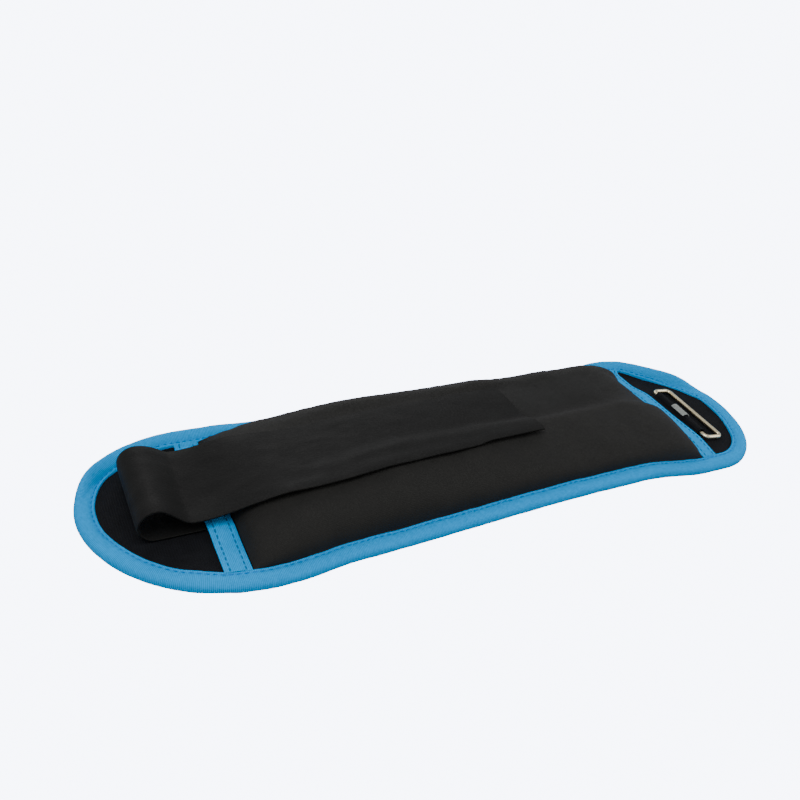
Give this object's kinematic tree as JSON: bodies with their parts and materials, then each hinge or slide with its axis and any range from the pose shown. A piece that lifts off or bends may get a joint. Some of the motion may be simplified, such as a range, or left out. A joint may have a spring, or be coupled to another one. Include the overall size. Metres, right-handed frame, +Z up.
{
  "type": "ankle cuff weight",
  "caption": "Flat soft ankle cuff weight with shot-filled pouches, a bound blue edge, a wire ring at one end and a long folded-back fastening strap.",
  "frame": {"origin": "middle of the footprint, on the surface that the flat cuff lies on", "axes": "+X along the cuff from the tongue end to the ring end, +Z up out of the outer face"},
  "size_m": [0.378, 0.1149, 0.03],
  "materials": {
    "cover": "black foam-backed stretch knit",
    "flap": "black knit over the two end flaps",
    "lining": "black brushed lining, skin side",
    "binding": "sky-blue folded binding tape with a row of stitches",
    "strap": "smooth black loop-faced strap",
    "hook": "black hook fastener tape",
    "pouch": "woven grey bag cloth",
    "shot": "loose iron shot",
    "steel": "bright nickel-plated wire",
    "label": "blank grey woven ribbon"
  },
  "bodies": {
    "pad_1": {"outer_cover_1": "cover", "inner_panel_1": "lining", "shot_pouch_1": "pouch", "iron_shot_1": "shot", "binding_front_1": "binding", "binding_back_1": "binding"},
    "pad_2": {"outer_cover_2": "cover", "inner_panel_2": "lining", "shot_pouch_2": "pouch", "iron_shot_2": "shot", "binding_front_2": "binding", "binding_back_2": "binding"},
    "pad_3": {"outer_cover_3": "cover", "inner_panel_3": "lining", "shot_pouch_3": "pouch", "iron_shot_3": "shot", "binding_front_3": "binding", "binding_back_3": "binding"},
    "pad_4": {"outer_cover_4": "cover", "inner_panel_4": "lining", "shot_pouch_4": "pouch", "iron_shot_4": "shot", "binding_front_4": "binding", "binding_back_4": "binding"},
    "pad_5": {"outer_cover_5": "cover", "inner_panel_5": "lining", "shot_pouch_5": "pouch", "iron_shot_5": "shot", "binding_front_5": "binding", "binding_back_5": "binding"},
    "left_flap": {"tongue_cover": "flap", "tongue_lining": "lining", "binding_left_end": "binding", "left_cross_tape": "binding", "strap_root": "strap"},
    "right_flap": {"ring_flap_cover": "flap", "ring_flap_lining": "lining", "binding_right_end": "binding", "right_cross_tape": "binding", "ring_tab": "flap", "ring_tab_label": "label"},
    "ring": {"wire_ring": "steel"},
    "strap_bend": {"strap_fold": "strap"},
    "strap_1": {"strap_run_1": "strap"},
    "strap_2": {"strap_run_2": "strap"},
    "strap_3": {"strap_run_3": "strap"},
    "strap_4": {"strap_run_4": "strap", "hook_patch": "hook"}
  },
  "joints": [
    {"name": "wrap_fold", "type": "hinge", "parent": "pad_3", "child": "pad_2", "pos_m": [-0.0202, 0, 0.012], "axis": [0, -1, 0], "range_deg": [0, 45]},
    {"name": "wrap_fold_2_1", "type": "hinge", "parent": "pad_2", "child": "pad_1", "pos_m": [-0.0726, 0, 0.012], "axis": [0, -1, 0], "range_deg": [0, 45]},
    {"name": "wrap_fold_left", "type": "hinge", "parent": "pad_1", "child": "left_flap", "pos_m": [-0.125, 0, 0.006], "axis": [0, -1, 0], "range_deg": [0, 45]},
    {"name": "wrap_fold_3_4", "type": "hinge", "parent": "pad_3", "child": "pad_4", "pos_m": [0.0322, 0, 0.012], "axis": [0, 1, 0], "range_deg": [0, 45]},
    {"name": "wrap_fold_4_5", "type": "hinge", "parent": "pad_4", "child": "pad_5", "pos_m": [0.0846, 0, 0.012], "axis": [0, 1, 0], "range_deg": [0, 45]},
    {"name": "wrap_fold_right", "type": "hinge", "parent": "pad_5", "child": "right_flap", "pos_m": [0.137, 0, 0.006], "axis": [0, 1, 0], "range_deg": [0, 45]},
    {"name": "strap_open", "type": "hinge", "parent": "left_flap", "child": "strap_bend", "pos_m": [-0.1646, 0, 0.0079], "axis": [0, -1, 0], "range_deg": [0, 80]},
    {"name": "strap_open_upper", "type": "hinge", "parent": "strap_bend", "child": "strap_1", "pos_m": [-0.1646, 0, 0.0203], "axis": [0, -1, 0], "range_deg": [0, 80]},
    {"name": "strap_follow_left", "type": "hinge", "parent": "strap_1", "child": "strap_2", "pos_m": [-0.125, 0, 0.006], "axis": [0, 1, 0], "range_deg": [0, 45]},
    {"name": "strap_follow_2_1", "type": "hinge", "parent": "strap_2", "child": "strap_3", "pos_m": [-0.0726, 0, 0.012], "axis": [0, 1, 0], "range_deg": [0, 45]},
    {"name": "strap_follow_3_2", "type": "hinge", "parent": "strap_3", "child": "strap_4", "pos_m": [-0.0202, 0, 0.012], "axis": [0, 1, 0], "range_deg": [0, 45]},
    {"name": "ring_swing", "type": "hinge", "parent": "right_flap", "child": "ring", "pos_m": [0.1524, -0.0095, 0.0079], "axis": [-0.0611, -0.9981, 0], "range_deg": [0, 120]}
  ],
  "couplings": [
    {"joint": "wrap_fold_2_1", "follows": "wrap_fold", "ratio": 1},
    {"joint": "wrap_fold_left", "follows": "wrap_fold", "ratio": 1},
    {"joint": "wrap_fold_3_4", "follows": "wrap_fold", "ratio": 1},
    {"joint": "wrap_fold_4_5", "follows": "wrap_fold", "ratio": 1},
    {"joint": "wrap_fold_right", "follows": "wrap_fold", "ratio": 1},
    {"joint": "strap_follow_left", "follows": "wrap_fold", "ratio": 1},
    {"joint": "strap_follow_2_1", "follows": "wrap_fold", "ratio": 1},
    {"joint": "strap_follow_3_2", "follows": "wrap_fold", "ratio": 1},
    {"joint": "strap_open_upper", "follows": "strap_open", "ratio": 1}
  ]
}
